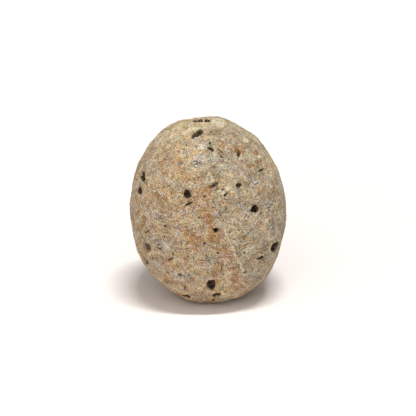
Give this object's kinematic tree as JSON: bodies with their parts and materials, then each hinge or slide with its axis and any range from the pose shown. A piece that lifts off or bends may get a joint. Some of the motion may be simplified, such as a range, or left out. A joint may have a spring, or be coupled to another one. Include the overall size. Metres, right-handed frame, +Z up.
{
  "type": "rough medicinal stone",
  "caption": "Egg-shaped water-worn pebble of pitted porphyry, tan with grey and cream crystals, that stands upright on a worn flat at its lower end.",
  "frame": {"origin": "middle of the flat that the stone stands on", "axes": "+Z up along the stone's length, +X to the right of the broad pitted face, -Y out of that face"},
  "size_m": [0.0491, 0.0439, 0.0576],
  "materials": {
    "porphyry": "weathered tan porphyry, matt and finely granular, with grey quartz, cream feldspar, rusty stains and dark open pits"
  },
  "bodies": {
    "root": {"stone": "porphyry"}
  },
  "joints": []
}
